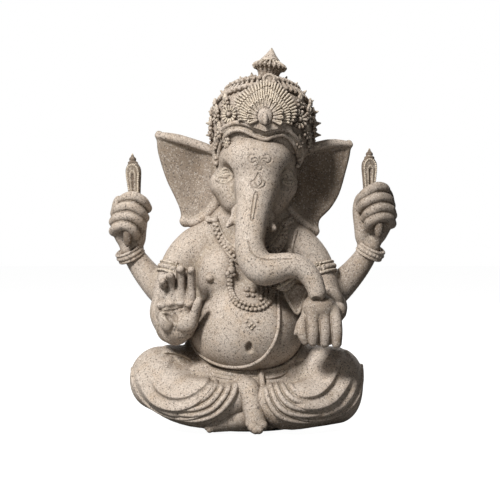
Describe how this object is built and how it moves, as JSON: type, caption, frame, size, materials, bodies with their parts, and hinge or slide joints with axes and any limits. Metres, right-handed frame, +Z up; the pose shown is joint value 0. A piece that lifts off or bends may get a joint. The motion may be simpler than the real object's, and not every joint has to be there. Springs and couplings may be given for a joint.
{
  "type": "ganesha idol",
  "caption": "Seated elephant-headed deity figurine in cast sandstone, cross-legged, raised rear hands holding maces, tall crown, felt-covered base.",
  "frame": {"origin": "centre of the base, on the underside of the felt", "axes": "+Z up, the figure faces -Y, +X towards the figure's left hand"},
  "size_m": [0.1677, 0.0896, 0.2199],
  "materials": {
    "sandstone": "matt cast sandstone resin with dark speckles",
    "carved_sandstone": "matt cast sandstone resin with a brown wash in the carving",
    "felt": "short felt pile",
    "rubber_plug": "matt"
  },
  "bodies": {
    "root": {"head": "sandstone", "trunk": "sandstone", "torso": "sandstone", "seat": "sandstone", "right_leg": "sandstone", "left_leg": "sandstone", "right_foot": "sandstone", "left_foot": "sandstone", "right_ear": "sandstone", "left_ear": "sandstone", "right_tusk": "sandstone", "left_tusk": "sandstone", "crown_cap": "sandstone", "crown_medallion": "sandstone", "right_upper_arm": "sandstone", "left_upper_arm": "sandstone", "right_raised_forearm": "sandstone", "left_raised_forearm": "sandstone", "right_raised_hand": "sandstone", "left_raised_hand": "sandstone", "right_forearm": "sandstone", "left_forearm": "sandstone", "right_hand": "sandstone", "left_hand": "sandstone", "right_hem": "carved_sandstone", "left_hem": "carved_sandstone", "waist_band": "carved_sandstone", "crown_finial": "carved_sandstone", "brow_band": "carved_sandstone", "crown_halo": "carved_sandstone", "crown_tier_lower": "carved_sandstone", "crown_tier_upper": "carved_sandstone", "crown_front_plate": "carved_sandstone", "right_rosette": "carved_sandstone", "left_rosette": "carved_sandstone", "right_side_rosette": "carved_sandstone", "left_side_rosette": "carved_sandstone", "right_armlet": "carved_sandstone", "left_armlet": "carved_sandstone", "right_mace": "carved_sandstone", "left_mace": "carved_sandstone", "right_bangle": "carved_sandstone", "left_bangle": "carved_sandstone", "neck_collar": "carved_sandstone", "bead_garland": "carved_sandstone", "sacred_thread": "carved_sandstone", "shoulder_sash": "carved_sandstone", "base_felt": "felt", "filling_plug": "rubber_plug"}
  },
  "joints": []
}
